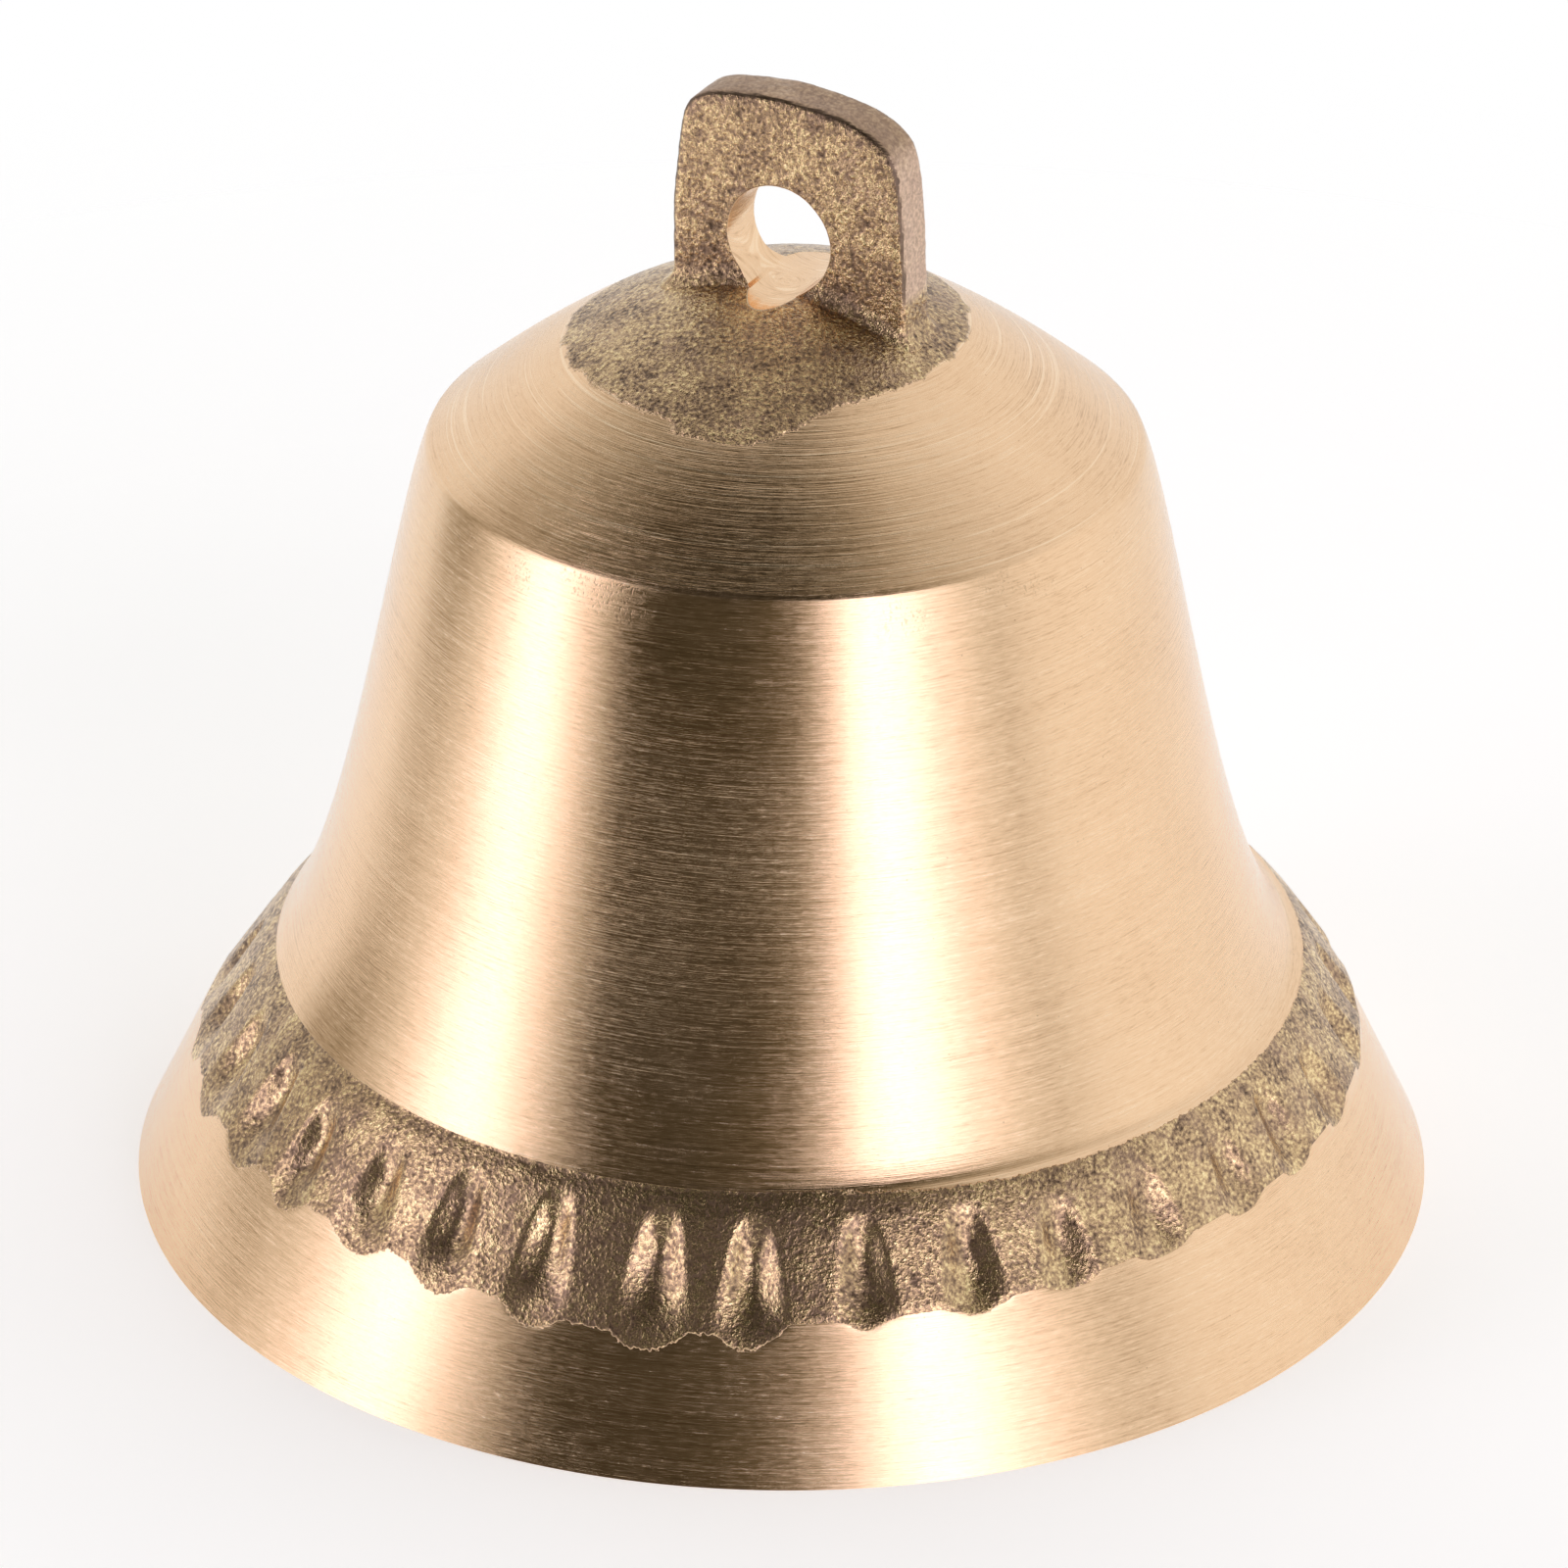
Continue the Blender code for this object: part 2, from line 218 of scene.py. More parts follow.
def readPoints(piece):
    points = np.zeros(len(piece.data.vertices) * 3)
    piece.data.vertices.foreach_get("co", points)
    return points.reshape(-1, 3)


def writePoints(piece, points):
    piece.data.vertices.foreach_set("co", points.ravel())
    piece.data.update()


def readNormals(piece):
    normals = np.zeros(len(piece.data.vertices) * 3, np.float32)
    piece.data.vertex_normals.foreach_get("vector", normals)
    return normals.reshape(-1, 3).astype(float)


def writeValues(piece, name, values):
    attribute = piece.data.attributes.get(name) or piece.data.attributes.new(name, "FLOAT", "POINT")
    attribute.data.foreach_set("value", np.asarray(values, np.float32))


def applyModifiers(piece):
    bpy.context.view_layer.update()
    shaped = bpy.data.meshes.new_from_object(piece.evaluated_get(bpy.context.evaluated_depsgraph_get()))
    piece.modifiers.clear()
    old = piece.data
    piece.data = shaped
    bpy.data.meshes.remove(old)


def cut(piece, tool, operation):
    modifier = piece.modifiers.new(operation, "BOOLEAN")
    modifier.object = tool
    modifier.operation = operation
    modifier.solver = "MANIFOLD"
    applyModifiers(piece)
    bpy.data.objects.remove(tool)


def lumps(points, scale, octaves, offset):
    # smooth random heights, about -1 to 1, at points given in millimetres
    shift = Vector((offset, offset * 0.7, -offset))
    values = []
    for point in points:
        place = Vector(point) / scale + shift
        values.append(noise.fractal(place, 0.9, 2.1, octaves))
    return np.array(values)


def bezier(start, startHandle, endHandle, end, shares):
    t = np.asarray(shares)[:, None]
    corners = [np.array(corner) for corner in (start, startHandle, endHandle, end)]
    weights = ((1 - t) ** 3, 3 * t * (1 - t) ** 2, 3 * t * t * (1 - t), t ** 3)
    return sum(weight * corner for weight, corner in zip(weights, corners))


def smoothStep(low, high, values):
    share = np.clip((values - low) / (high - low), 0, 1)
    return share * share * (3 - 2 * share)


# millimetres and degrees; heights from the mouth plane
casting = {
    "lipTaper": 0.475,
    "lipEnd": 7.85, "lipExit": 6.0,  # where the lathe tool left the lip, and how steeply
    "bandTopRadius": 27.8, "bandTop": 13.2, "bandTaper": 0.675,
    # the rounded top of the band: height, how far out it starts, slope, softness of the turn
    "bandShoulder": (12.32, 0.6, 0.95, 0.12),
    "bandRoughFrom": 27.0, "bandRoughTo": 32.5,     # radii between which the mould's grain shows
    "flutes": 34, "firstFlute": -64.8, "fluteDepth": 0.80, "fluteTop": 12.25, "fluteShare": 0.66,
    "fluteSteps": 26,               # points round the bell for each flute
    "fluteTaper": (4.6, 0.30, 0.78, 0.6),   # length, width at the tip, widening, how round the tip is
    "fluteRound": 1.3, "fluteFoot": (10.6, 7.0, 0.78),   # fades by this share between the heights
    "fluteShift": 0.055, "fluteWidths": (0.9, 1.1), "fluteDepths": (0.82, 1.1),
    "fluteTops": (-0.35, 0.2),
    "moulding": (0.887, 0.462, 0.25),   # the casting sits this far off the lathe's centre
    "sag": (-76, 19, 0.27),         # a shallow sag of the mould: where, how wide, how deep
    "waistFoot": (27.1, 13.5), "waistFootHandle": (23.1, 19.3),
    "waistHeadHandle": (20.8, 38.5), "waistHead": (18.85, 43.0),
    # the tool's path at the waist's foot: a fillet that flattens as it runs out over the band
    "waistFillet": ((26.6, 14.25), (27.1, 13.5), (27.35, 13.2), (27.69, 12.98), (28.0, 12.85),
                    (28.36, 12.74), (29.0, 12.62), (30.0, 12.5), (30.1, 20.0)),
    "shoulderRound": ((0.09, -0.22), (0.01, -0.05), (-0.08, 0.05)),
    "discEdge": (10.4, 49.3), "discReach": 12.5, "domeTop": 52.55, "domeSlope": 0.75,
    "crownSlope": 0.7485, "crownBulge": 0.25, "crownBulgeWidth": 8.35, "crownInner": 9.0,
    "domeLumpHeight": 0.035, "domeGrainHeight": 0.018,
    "mouthRound": ((33.4, 0.0), (32.2, 0.0), (32.08, 0.2)),
    "mouthFlare": ((31.9, 0.5), (30.0, 4.0), (26.6, 9.6)),
    "hollowFoot": (24.8, 13.0), "hollowFootHandle": (20.7, 19.5),
    "hollowHeadHandle": (18.4, 37.0), "hollowHead": (16.5, 41.0),
    "hollowCornerHandle": (14.0, 45.4), "hollowTopHandle": (8.0, 45.8), "hollowTop": 45.8,
    "hollowLumpHeight": 0.12, "hollowRoughFrom": (8.0, 11.0), "hollowCastFrom": 9.0,
    "lumpHeight": 0.035, "grainHeight": 0.016,
    "sharpAngle": 50,
}


def offCentre(angles):
    x, y, distance = casting["moulding"]
    place, width, depth = casting["sag"]
    away = (np.degrees(angles) - place + 180) % 360 - 180
    return distance * (x * np.cos(angles) + y * np.sin(angles)) - depth * np.exp(-(away / width) ** 2)


def fluteShape(angles, heights):
    # depth of the flutes below the lands, 0 to about 1
    count = casting["flutes"]
    turns = (angles - math.radians(casting["firstFlute"])) * count / math.tau
    index = np.round(turns).astype(int) % count
    rng = np.random.default_rng(11)
    shift = rng.uniform(-casting["fluteShift"], casting["fluteShift"], count)[index]
    width = rng.uniform(*casting["fluteWidths"], count)[index] * casting["fluteShare"]
    depth = rng.uniform(*casting["fluteDepths"], count)[index]
    top = casting["fluteTop"] + rng.uniform(*casting["fluteTops"], count)[index]
    length, tipWidth, widening, roundness = casting["fluteTaper"]
    across = np.abs(turns - np.round(turns) - shift) * 2
    share = np.clip((top - heights) / length, 0, 1)
    halfWidth = width * (tipWidth + widening * share ** roundness) + 1e-6
    hollow = np.clip(1 - (across / halfWidth) ** 2, 0, 1) ** casting["fluteRound"]
    fadeTop, fadeFoot, fade = casting["fluteFoot"]
    ends = smoothStep(0.0, 1.0, top - heights) * (1 - fade * smoothStep(fadeTop, fadeFoot, heights))
    return hollow * ends * depth


def castBand(radii, angles):
    # height of the rough casting over the band, from the radius
    inward = casting["bandTopRadius"] + offCentre(angles) - radii
    height, outward, slope, softness = casting["bandShoulder"]
    side = casting["bandTop"] + inward / casting["bandTaper"]
    shoulder = height + (inward + outward) * slope
    # the side and the rounded top shoulder run smoothly into each other
    apart = side - shoulder
    return (side + shoulder - np.sqrt(apart ** 2 + softness)) / 2


def lipTool(radii):
    line = (mouthRadius - radii) / casting["lipTaper"]
    past = np.clip(line - casting["lipEnd"], 0, None)
    return line + past * casting["lipExit"]


def waistTool(radii):
    filletRadii, filletHeights = zip(*casting["waistFillet"])
    return np.interp(radii, filletRadii, filletHeights)


def bandRows(angles):
    # rows of the lip and the band, each a radius, with heights for every angle
    rows = []
    lipRadii = np.linspace(34.2, 32.6, 4)
    for radius in np.concatenate(([mouthRadius], lipRadii, np.linspace(32.35, 27.3, 46))):
        radii = np.full(len(angles), radius)
        turned = np.minimum(lipTool(radii), waistTool(radii))
        cast = castBand(radii, angles)
        place = np.stack([radii * np.cos(angles), radii * np.sin(angles), cast], 1)
        cast = cast - fluteShape(angles, cast) * casting["fluteDepth"] / casting["bandTaper"]
        rough = casting["lumpHeight"] * lumps(place, 1.6, 2, 3.0)
        rough = rough + casting["grainHeight"] * lumps(place, 0.55, 2, 9.0)
        cast = cast + rough if casting["bandRoughFrom"] < radius < casting["bandRoughTo"] else cast
        rows.append((radii, np.minimum(turned, cast), np.clip(turned - cast, -1, 1)))
    return rows


def domeCurve(radii):
    # a rounded cone through the disc's edge
    edgeRadius, edgeHeight = casting["discEdge"]
    drop = casting["domeTop"] - edgeHeight
    side = (casting["domeSlope"] * edgeRadius) ** 2
    soft = (side - drop ** 2) / (2 * drop)
    return casting["domeTop"] + soft - np.sqrt(soft ** 2 + (casting["domeSlope"] * radii) ** 2)


def domeRow(radius, angles):
    edgeRadius, edgeHeight = casting["discEdge"]
    radii = np.full(len(angles), radius)
    share = (casting["waistHead"][0] - radii) / casting["crownBulgeWidth"]
    bulge = casting["crownBulge"] * np.sin(np.pi * np.clip(share, 0, 1.3))
    turned = edgeHeight + (edgeRadius - radii) * casting["crownSlope"] + bulge
    turned = turned + np.clip(casting["crownInner"] - radii, 0, None) * 2
    # outside the disc's reach the rough casting is far above, so the tool has cut all of it
    cast = domeCurve(radii - offCentre(angles)) + np.where(radii > casting["discReach"], 9.0, 0.0)
    place = np.stack([radii * np.cos(angles), radii * np.sin(angles), cast], 1)
    cast = cast + casting["domeLumpHeight"] * lumps(place, 2.0, 2, 5.0)
    cast = cast + casting["domeGrainHeight"] * lumps(place, 0.5, 2, 1.0)
    return radii, np.minimum(turned, cast), np.clip(turned - cast, -1, 1)


class Skin:
    # rings of points that are bridged one after another into one surface
    def __init__(self):
        self.points = []
        self.faces = []
        self.margins = []
        self.last = None

    def ring(self, radii, heights, margins, angles, step=1):
        start = len(self.points)
        for radius, height, margin, angle in list(zip(radii, heights, margins, angles))[::step]:
            self.points.append((radius * math.cos(angle), radius * math.sin(angle), height))
            self.margins.append(margin)
        ring = range(start, len(self.points))
        if self.last is not None:
            self.bridge(self.last, ring)
        self.last = ring
        return ring

    def bridge(self, one, other):
        if len(one) == len(other):
            for index in range(len(one)):
                follow = (index + 1) % len(one)
                self.faces.append((one[index], one[follow], other[follow], other[index]))
            return
        flip = len(one) < len(other)
        many, few = (other, one) if flip else (one, other)
        for index in range(len(few)):
            follow = (index + 1) % len(few)
            left, middle, right = (many[(2 * index + step) % len(many)] for step in range(3))
            made = [(left, middle, few[index]), (middle, few[follow], few[index]),
                    (middle, right, few[follow])]
            self.faces.extend(face[::-1] for face in made) if flip else self.faces.extend(made)

    def close(self, height, margin):
        self.points.append((0.0, 0.0, height))
        self.margins.append(margin)
        tip = len(self.points) - 1
        for index in range(len(self.last)):
            follow = (index + 1) % len(self.last)
            self.faces.append((self.last[index], self.last[follow], tip))


def buildShell():
    count = casting["fluteSteps"] * casting["flutes"]
    angles = math.radians(casting["firstFlute"]) + np.arange(count) * math.tau / count
    skin = Skin()
    for radii, heights, margins in bandRows(angles):
        skin.ring(radii, heights, margins, angles)
    firstRing = range(0, count)

    def turnedRing(radius, height, step):
        skin.ring([radius] * count, [height] * count, [-1.0] * count, angles, step)

    waist = bezier(casting["waistFoot"], casting["waistFootHandle"], casting["waistHeadHandle"],
                   casting["waistHead"], np.linspace(0, 1, 31))
    turnedRing(*waist[0], 2)
    for radius, height in waist[1:-1]:
        turnedRing(radius, height, 4)
    headRadius, headHeight = casting["waistHead"]
    for outward, upward in casting["shoulderRound"]:
        turnedRing(headRadius + outward, headHeight + upward, 4)
    for radius in np.linspace(18.5, 12.0, 12):
        radii, heights, margins = domeRow(radius, angles)
        skin.ring(radii, heights, margins, angles, 4)
    for radius in np.concatenate((np.linspace(11.6, 9.0, 18), np.linspace(8.7, 0.6, 24))):
        radii, heights, margins = domeRow(radius, angles)
        skin.ring(radii, heights, margins, angles, 2 if radius > 4.5 else 4)
    skin.close(casting["domeTop"], 1.0)

    outerFaces = len(skin.faces)
    skin.last = firstRing
    # the mouth's flat rim, then its turned flare, the cast wall and the roof of the hollow
    flare = bezier(*casting["mouthFlare"], casting["hollowFoot"], np.linspace(0, 1, 12))
    wall = bezier(casting["hollowFoot"], casting["hollowFootHandle"], casting["hollowHeadHandle"],
                  casting["hollowHead"], np.linspace(0, 1, 18))
    roof = bezier(casting["hollowHead"], casting["hollowCornerHandle"], casting["hollowTopHandle"],
                  (0.0, casting["hollowTop"]), np.linspace(0, 1, 16))
    inner = [*casting["mouthRound"], *flare[:-1], *wall, *roof[1:-1]]
    for index, (radius, height) in enumerate(inner):
        step = min(2 ** index, 4)
        depth = height - casting["hollowCastFrom"]
        place = np.stack([radius * np.cos(angles), radius * np.sin(angles), np.full(count, height)], 1)
        roughness = casting["hollowLumpHeight"] * float(smoothStep(*casting["hollowRoughFrom"], height))
        rough = lumps(place[::step], 2.2, 2, 7.0) * roughness
        radii = np.full(count, radius)
        radii[::step] = radii[::step] + rough
        skin.ring(radii, [height] * count, [np.clip(depth, -1, 1)] * count, angles, step)
    skin.close(casting["hollowTop"], 1.0)
    return skin, outerFaces


# hanging lug: its outline runs up the left side, over the top and down the right
lug = {
    "outline": [(-6.05, 47.5), (-6.07, 51.5), (-6.03, 56.2), (-5.62, 60.2), (-5.36, 61.25),
                (-4.85, 61.95), (-3.75, 62.5), (-1.47, 62.83), (0.7, 62.88), (3.64, 62.52),
                (5.32, 61.95), (6.4, 61.15), (6.88, 60.3), (7.16, 58.98), (7.4, 56.3),
                (7.54, 53.55), (7.6, 51.3), (7.65, 47.5)],
    "thickness": 2.95, "edgeRound": 0.45, "grid": 0.15,
    "fillet": 0.5, "filletHeight": 0.9,
    "lumpHeight": 0.035, "grainHeight": 0.022, "topGap": 0.01,
    "holeCentre": (0.25, 55.0), "holeRadius": 3.0, "drillReach": 11,
}


def domeHeight(points):
    return domeCurve(np.hypot(points[:, 0], points[:, 1]))


def smoothOutline(corners, steps=6):
    # a smooth curve through the corners, open at both ends
    corners = [np.array(corner) for corner in corners]
    ends = [corners[0] * 2 - corners[1], *corners, corners[-1] * 2 - corners[-2]]
    points = []
    for before, here, follow, after in zip(ends, ends[1:], ends[2:], ends[3:]):
        for t in np.arange(steps) / steps:
            square = 2 * before - 5 * here + 4 * follow - after
            cube = 3 * here - before - 3 * follow + after
            points.append((2 * here + (follow - before) * t + square * t ** 2 + cube * t ** 3) / 2)
    return [*points, corners[-1]]


def buildLug():
    work = bmesh.new()
    half = lug["thickness"] / 2
    face = work.faces.new([work.verts.new((x, -half, z)) for x, z in smoothOutline(lug["outline"])])
    moved = bmesh.ops.extrude_face_region(work, geom=[face])["geom"]
    corners = [part for part in moved if isinstance(part, bmesh.types.BMVert)]
    bmesh.ops.translate(work, verts=corners, vec=(0.0, 2 * half, 0.0))
    rims = [edge for edge in work.edges if abs(edge.verts[0].co.y - edge.verts[1].co.y) < half]
    bmesh.ops.bevel(work, geom=rims, offset=lug["edgeRound"], segments=4, profile=0.5, affect="EDGES")
    bmesh.ops.recalc_face_normals(work, faces=work.faces)
    piece = addBmesh("lugBlank", work)
    remesh = piece.modifiers.new("grid", "REMESH")
    remesh.mode = "VOXEL"
    remesh.voxel_size = lug["grid"]
    applyModifiers(piece)
    points = readPoints(piece)
    normals = readNormals(piece)
    above = points[:, 2] - domeHeight(points)
    flare = lug["fillet"] * np.clip(1 - above / lug["filletHeight"], 0, 1.2) ** 2
    sideways = normals * np.array([1.0, 1.0, 0.0])
    rough = lug["lumpHeight"] * lumps(points, 1.9, 2, 2.0)
    rough = rough + lug["grainHeight"] * lumps(points, 0.5, 2, 6.0)
    points = points + sideways * flare[:, None] + normals * rough[:, None]
    points[:, 2] = np.minimum(points[:, 2], bellHeight - lug["topGap"])
    writePoints(piece, points)
    writeValues(piece, "castMargin", np.ones(len(points)))
    return piece


def rod(name, radius, sides, start, end):
    work = bmesh.new()
    start, end = Vector(start), Vector(end)
    turn = (end - start).to_track_quat("Z", "Y").to_matrix().to_4x4()
    bmesh.ops.create_cone(work, cap_ends=True, segments=sides, radius1=radius, radius2=radius,
                          depth=(end - start).length, matrix=Matrix.Translation((start + end) / 2) @ turn)
    return addBmesh(name, work)


def buildCasting(material):
    skin, outerFaces = buildShell()
    faces = [face[::-1] if index >= outerFaces else face for index, face in enumerate(skin.faces)]
    piece = addPiece("bell_casting", skin.points, faces, material)
    writeValues(piece, "castMargin", skin.margins)
    print("shell:", len(piece.data.vertices), "points,", faceOutwards(piece), "open edges")
    cut(piece, buildLug(), "UNION")
    x, z = lug["holeCentre"]
    reach = lug["drillReach"]
    cut(piece, rod("drill", lug["holeRadius"], 96, (x, -reach, z), (x, reach, z)), "DIFFERENCE")
    for y in (-wires["stapleSpread"], wires["stapleSpread"]):
        foot = (0, y, wires["socketFoot"])
        end = (0, y, wires["stapleTop"] + wires["gap"])
        cut(piece, rod("socket", wires["stapleWire"] + wires["gap"], 32, foot, end), "DIFFERENCE")
    piece.data.transform(Matrix.Scale(mm, 4))
    piece.data.materials.clear()
    piece.data.materials.append(material)
    piece.data.shade_smooth()
    piece.data.set_sharp_from_angle(angle=math.radians(casting["sharpAngle"]))
    triangles = sum(len(polygon.vertices) - 2 for polygon in piece.data.polygons)
    print("casting:", triangles, "triangles")
    return piece


# brass finishes: colours from dull to bright, and how coarse and deep each grain is
brass = {
    "turnedStops": [(0.2, (0.62, 0.40, 0.23)), (0.42, (0.86, 0.585, 0.36)), (0.57, (0.91, 0.635, 0.40)),
                    (0.8, (0.98, 0.74, 0.50))],
    "turnedRough": 0.145, "turnedAnisotropy": 0.55, "lineHeight": 0.012, "shortLineHeight": 0.006,
    "crownRough": 0.05, "crownLineHeight": 0.008,
    "speck": (0.36, 0.22, 0.12), "pit": (0.40, 0.27, 0.15), "pitDepth": 0.004,
    "castStops": [(0.37, (0.10, 0.06, 0.035)), (0.46, (0.34, 0.225, 0.14)), (0.54, (0.62, 0.43, 0.24)),
                  (0.62, (0.93, 0.71, 0.38)), (0.74, (0.99, 0.87, 0.53))],
    "castRough": 0.27, "grainScale": 4.4, "grainHeight": 0.125, "sandHeight": 0.035,
    "castPink": (0.46, 0.30, 0.22),
    # the rim's side colour is its lit copy and its top colour its shaded copy: painted light
    "rimSideLit": (0.78, 0.56, 0.43), "rimTopShaded": (0.44, 0.30, 0.21), "rimPit": (0.12, 0.07, 0.04),
    # the corner colour is a painted dark line, standing in for the corners' dark reflection
    "paintedCornerShade": (0.09, 0.06, 0.04),
    "raggedEdge": 0.05, "raggedBand": 0.13,    # how far the grain shifts the edge of a turned part
    "bandRough": (14.0, 0.58),      # below this height the grain is this much shallower
}


def castMask(graph, place, fine):
    # 1 where the skin is as cast, 0 where a lathe tool or the drill has been
    x, y, z = graph.split(place)
    ragged = brass["raggedEdge"] + (1 - z.above(20.0, 1.0)) * brass["raggedBand"]
    cast = (graph.attribute("castMargin") + (fine - 0.5) * ragged).above(-0.012, 0.024)
    holeX, holeZ = lug["holeCentre"]
    fromHole = ((x - holeX).power(2.0) + (z - holeZ).power(2.0)).power(0.5)
    drilled = 1 - fromHole.above(lug["holeRadius"] + 0.02, 0.03)
    return cast * (1 - drilled), drilled


def turnedFinish(graph, place, fine):
    # lines run round the axis: one number along the profile, and a little of the angle
    x, y, z = graph.split(place)
    radius = (x * x + y * y).power(0.5)
    along = z - radius
    lines = graph.noise(graph.join(x / radius * 1.1, y / radius * 1.1, along * 8.5), 1.0, 5.0, 0.66)
    coarse = graph.noise(graph.join(x / radius * 1.2, y / radius * 1.2, along * 2.6), 1.0, 2.0)
    short = graph.noise(graph.join(x * 1.3, y * 1.3, along * 9.0), 1.0, 3.0, 0.6)
    rings = graph.noise(graph.join(x / radius * 0.7, y / radius * 0.7, along * 3.4), 1.0, 1.0)
    rings = rings.above(0.64, 0.03)
    onCrown = z.above(43.0, 0.15)
    clouds = graph.noise(place, 0.13, 3.0, 0.55)
    smears = graph.noise(graph.join(x * 0.5, y * 0.5, z * 0.12), 1.0, 3.0)

    # clouds give a random tone; the long and short turning lines darken the colour along their grooves,
    # which is painted shade; the crown is a little darker, with paler rings
    colourLevel = clouds * 0.4 + lines * (0.75 + onCrown * 0.2) + short * 0.65 - 0.4
    colour = graph.ramp(brass["turnedStops"], colourLevel - onCrown * (0.12 - rings * 0.25))
    keepSpeck = graph.noise(place, 0.35, 1.0).above(0.56, 0.06)
    speck = (1 - graph.cells(place, 1.7).above(0.05, 0.05)) * keepSpeck
    colour = graph.mix(speck * 0.55, colour, brass["speck"])
    # sand pits that the tool left in under the shoulder
    nearShoulder = z.above(40.4, 1.2) * (1 - z.above(42.9, 0.1))
    pitted = nearShoulder * graph.noise(place, 0.2, 1.0).above(0.57, 0.05)
    pits = pitted * graph.noise(place, 6.0, 2.0).above(0.56, 0.12)
    colour = graph.mix(pits * 0.4, colour, brass["pit"])

    rough = brass["turnedRough"] + onCrown * brass["crownRough"] + (clouds - 0.5) * 0.14
    rough = rough + (smears - 0.5) * 0.1 + (lines - 0.5) * 0.42
    rough = rough + (short - 0.5) * 0.40 + (fine - 0.5) * 0.16
    lineHeight = brass["lineHeight"] + onCrown * brass["crownLineHeight"]
    longLines = (lines + coarse * onCrown * 0.8) * lineHeight
    shortLines = (short - 0.5) * brass["shortLineHeight"]
    return colour, rough, longLines, shortLines, pits * brass["pitDepth"]


def castFinish(graph, place, cast):
    # sand grain, bright on its tops and brown in its pits
    x, y, z = graph.split(place)
    grain = graph.noise(place, brass["grainScale"], 2.5, 0.7)
    sand = graph.cells(place, 4.6, "SMOOTH_F1")
    patches = graph.noise(place, 0.42, 3.0, 0.6)
    bright = grain * 0.75 + (1 - sand) * 0.35 + patches * 0.5
    colour = graph.ramp(brass["castStops"], bright * 0.62)
    pink = graph.noise(place, 0.55, 2.0).above(0.52, 0.14) * 0.55
    colour = graph.mix(pink, colour, graph.mix(0.5, colour, brass["castPink"]))

    # the lug's rim is duller and smoother than its faces, with a painted dark line along its corners that
    # stands in for their dark reflection: painted shade
    normalX, normalY, normalZ = graph.split(graph.node("ShaderNodeNewGeometry", output=3))
    onLug = z.above(52.6, 0.6)
    rim = onLug * (1 - (normalY * normalY).above(0.35, 0.3))
    sideways = (normalY * normalY).power(0.5)
    # where the painted dark line along the face's corners goes
    corner = onLug * sideways.above(0.34, 0.12) * (1 - sideways.above(0.80, 0.12))
    # the rim's top is painted darker than its sides: painted shade on the top, a lit copy on the sides
    rimLitShadedColour = graph.mix(normalZ.above(0.2, 0.5), brass["rimSideLit"], brass["rimTopShaded"])
    pitted = graph.mix(0.35, rimLitShadedColour, brass["rimPit"])
    rimLitShadedColour = graph.mix(grain.above(0.38, 0.25), pitted, rimLitShadedColour)
    colour = graph.mix(rim * 0.85, colour, rimLitShadedColour)
    # painted shade: a dark line along the face's corners, in place of their dark reflection
    colour = graph.mix(corner * 0.8, colour, brass["paintedCornerShade"])

    rough = brass["castRough"] - (bright - 0.8) * 0.35 + rim * 0.14
    tarnish = (1 - bright.above(0.62, 0.2)) * 0.3
    bandTop, shallower = brass["bandRough"]
    onBand = 1 - z.above(bandTop, 0.5)
    height = grain * brass["grainHeight"] + (1 - sand) * brass["sandHeight"]
    height = height * cast * (1 - rim * 0.78) * (1 - onBand * shallower)
    return colour, rough, tarnish, height


def bellBrass():
    material, graph = newGraph("bell brass")
    place = graph.objectPlace()
    fine = graph.noise(place, 4.0, 3.0)
    cast, drilled = castMask(graph, place, fine)
    turnedColour, turnedRough, longLines, shortLines, pits = turnedFinish(graph, place, fine)
    castColour, castRough, tarnish, castHeight = castFinish(graph, place, cast)
    turned = 1 - cast
    height = longLines * turned * (1 - drilled) + shortLines * turned - pits + castHeight
    finishMetal(graph, {"Anisotropic": brass["turnedAnisotropy"]}, {
        "Base Color": graph.mix(cast, turnedColour, castColour),
        "Roughness": turnedRough * turned + castRough * cast,
        "Metallic": 1 - cast * tarnish,
        "Normal": graph.bump(height, mm)})
    return material


# clapper: staple, link, shank and ball, in millimetres
wires = {
    "gap": 0.3,
    "stapleWire": 1.1, "stapleSpread": 4.0, "stapleBend": 40.0, "stapleTop": 49.0,
    "socketFoot": 44,
    "linkWire": 0.9, "linkRadius": 4.0,
    "shankWire": 1.0, "eyeRadius": 2.9, "neckRadius": 2.0, "eyeTailGap": 40.0,
    "sides": 24,
    "ballRadius": 6.0, "ballHeight": 9.0, "boreEdge": (0.25, 0.18), "dent": 0.05,
    "peenedRadius": 1.8, "peenedLength": 0.8,
    "wobble": 0.02,                 # share of its radius that a drawn wire varies by
}


def arcPoints(centre, radius, first, last, steps):
    turns = np.radians(np.linspace(first, last, steps + 1))
    return [(centre[0] + radius * math.cos(t), centre[1] + radius * math.sin(t)) for t in turns]


